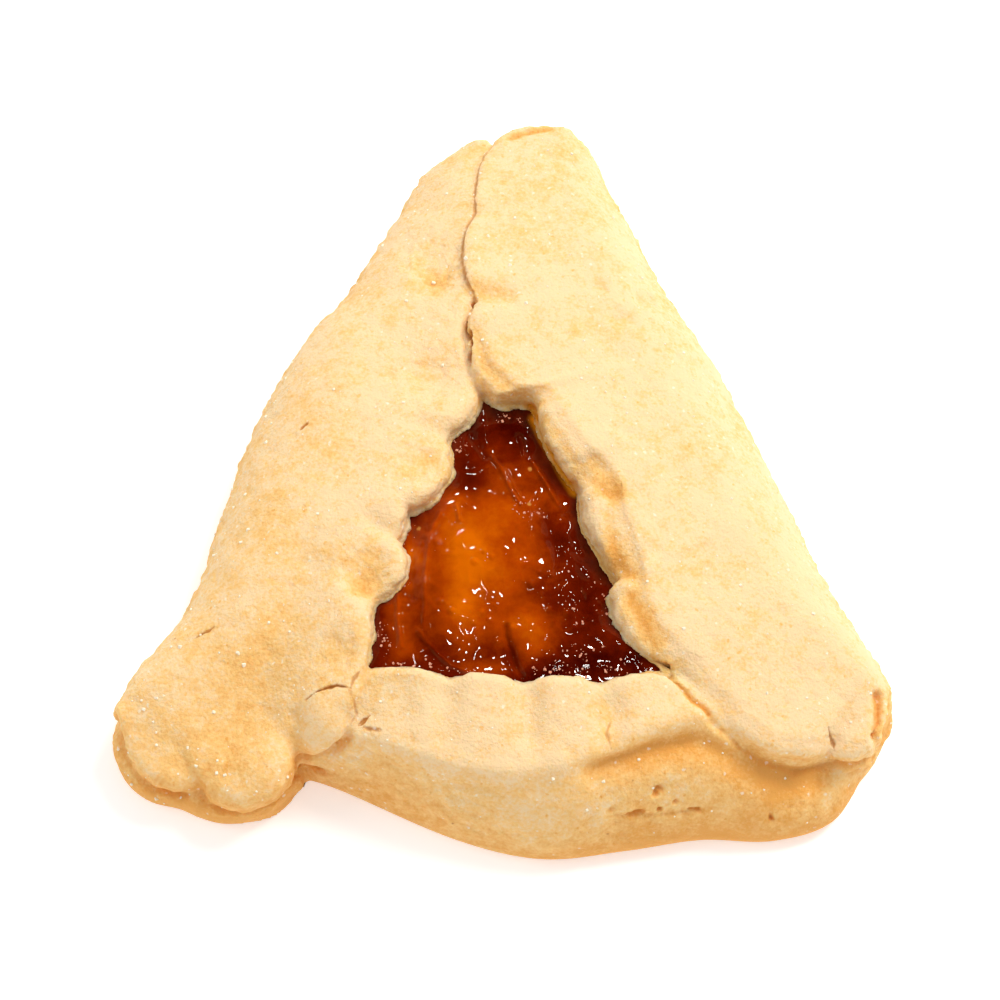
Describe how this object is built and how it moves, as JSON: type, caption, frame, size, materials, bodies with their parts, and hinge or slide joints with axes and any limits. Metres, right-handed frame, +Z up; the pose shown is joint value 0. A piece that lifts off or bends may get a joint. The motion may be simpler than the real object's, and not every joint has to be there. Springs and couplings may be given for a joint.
{
  "type": "hamantaschen",
  "caption": "Triangular filled pastry: a fluted round of shortcrust dough folded over from its sides, with a glossy apricot jam filling showing in the open middle.",
  "frame": {"origin": "middle of the bounding box of the flat underside", "axes": "+Z up out of the filling, +Y towards the corner that faces away in the picture, +X to the right, with the flat-fronted flap on the -Y side"},
  "size_m": [0.075, 0.078, 0.0156],
  "materials": {
    "dough": "matt baked shortcrust, pale golden and browner at the edges and underneath",
    "jam": "glossy translucent apricot jam, amber in the middle and dark red-brown round the edge"
  },
  "bodies": {
    "root": {"dough": "dough", "jam": "jam"}
  },
  "joints": []
}
